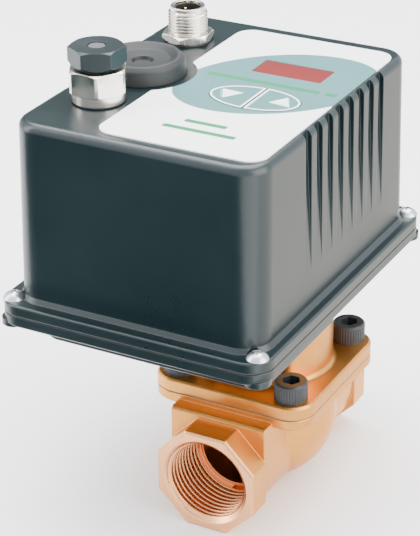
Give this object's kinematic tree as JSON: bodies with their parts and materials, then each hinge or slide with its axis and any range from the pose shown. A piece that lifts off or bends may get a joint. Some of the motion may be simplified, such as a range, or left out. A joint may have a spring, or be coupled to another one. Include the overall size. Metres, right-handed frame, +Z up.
{
  "type": "motorized valve actuator",
  "caption": "Geared motor actuator in a ribbed housing with keypad, display, cable gland and plug connector, on a brass threaded globe valve.",
  "frame": {"origin": "on the inlet port's axis, 2 mm inside its mouth, where its thread is full", "axes": "+Z up along the stem, +Y along the pipe from inlet to outlet, +X towards the housing's label side"},
  "size_m": [0.0864, 0.1134, 0.1427],
  "materials": {
    "cover_black": "satin",
    "base_black": "satin",
    "seal_grey": "matte",
    "zinc_screw": "zinc plated",
    "black_oxide": "black oxide",
    "brass": "forged and machined",
    "bronze": "machined",
    "fibre": "matte fibre gasket",
    "label_white": "screen printed film",
    "key_film": "satin",
    "window_red": "tinted",
    "nickel": "nickel plated",
    "insert_black": "matte",
    "gold_pin": "gold plated",
    "cap_black": "satin",
    "plug_rubber": "matte",
    "blank_grey": "matte",
    "board_green": "solder mask",
    "component_black": "matte",
    "steel": "machined",
    "bearing_steel": "ground",
    "gear_acetal": "moulded acetal",
    "motor_steel": "zinc plated can",
    "stainless": "turned stainless",
    "ptfe": "PTFE"
  },
  "bodies": {
    "housing": {"valve_body": "brass", "seat_ring": "stainless", "bonnet": "brass", "bonnet_gasket": "fibre", "bonnet_screws": "black_oxide", "stem_bush": "bronze", "stem_seals": "plug_rubber", "cover": "cover_black", "cover_gasket": "seal_grey", "cover_screws": "zinc_screw", "base_plate": "base_black", "base_screws": "steel", "keypad_label": "label_white", "display_window": "window_red", "display_module": "component_black", "control_board": "board_green", "board_screws": "steel", "key_switches": "component_black", "board_parts": "component_black", "socket_shell": "nickel", "socket_insert": "insert_black", "socket_pins": "gold_pin", "socket_seal": "seal_grey", "socket_locknut": "nickel", "gland_body": "nickel", "gland_seal": "seal_grey", "gland_insert": "blank_grey", "gland_blank": "blank_grey", "gland_nut": "cap_black", "gland_locknut": "nickel", "override_bush": "bronze", "gear_plate": "steel", "plate_pillars": "steel", "plate_screws": "zinc_screw", "motor": "motor_steel", "motor_screws": "zinc_screw", "idler_axle": "steel", "bearing_outer_races": "bearing_steel", "bearing_balls": "bearing_steel"},
    "drive": {"drive_gear": "gear_acetal", "stem_nut": "bronze", "bearing_inner_races": "bearing_steel", "retaining_ring": "steel"},
    "idler": {"idler_gear": "gear_acetal"},
    "motor_rotor": {"motor_shaft": "steel", "motor_pinion": "bronze"},
    "hand_drive": {"override_shaft": "steel", "override_gear": "gear_acetal"},
    "stem": {"stem": "stainless", "guide_pin": "steel", "disc_holder": "stainless", "seat_disc": "ptfe", "throttle_cone": "stainless", "cone_nut": "stainless"},
    "up_key": {"up_key": "key_film"},
    "down_key": {"down_key": "key_film"},
    "plug": {"override_plug": "plug_rubber"}
  },
  "joints": [
    {"name": "drive_gear_spin", "type": "hinge", "parent": "housing", "child": "drive", "pos_m": [0, 0.038, 0.059], "axis": [0, 0, 1], "range_deg": [-1440, 0]},
    {"name": "idler_spin", "type": "hinge", "parent": "housing", "child": "idler", "pos_m": [-0.0189, 0.02195, 0.062], "axis": [0, 0, 1], "range_deg": [-5, 4943]},
    {"name": "pinion_spin", "type": "hinge", "parent": "housing", "child": "motor_rotor", "pos_m": [-0.00089, 0.01155, 0.066], "axis": [0, 0, 1], "range_deg": [-16463, 5]},
    {"name": "hand_drive_spin", "type": "hinge", "parent": "housing", "child": "hand_drive", "pos_m": [-0.0391, 0.0349, 0.066], "axis": [0, 0, 1], "range_deg": [-9880, 5]},
    {"name": "stem_slide", "type": "slide", "parent": "housing", "child": "stem", "axis": [0, 0, 1], "range_m": [0, 0.008]},
    {"name": "up_key_press", "type": "slide", "parent": "housing", "child": "up_key", "axis": [0, 0, -1], "range_m": [0, 0.0004], "stiffness_N_per_m": 1500},
    {"name": "down_key_press", "type": "slide", "parent": "housing", "child": "down_key", "axis": [0, 0, -1], "range_m": [0, 0.0004], "stiffness_N_per_m": 1500},
    {"name": "override_plug_pull", "type": "slide", "parent": "housing", "child": "plug", "axis": [0, 0, 1], "range_m": [0, 0.015]}
  ],
  "couplings": [
    {"joint": "idler_spin", "follows": "drive_gear_spin", "ratio": -3.4286},
    {"joint": "pinion_spin", "follows": "drive_gear_spin", "ratio": 11.429},
    {"joint": "hand_drive_spin", "follows": "drive_gear_spin", "ratio": 6.8571},
    {"joint": "stem_slide", "follows": "drive_gear_spin", "m_per_rad": -0.00031831}
  ]
}
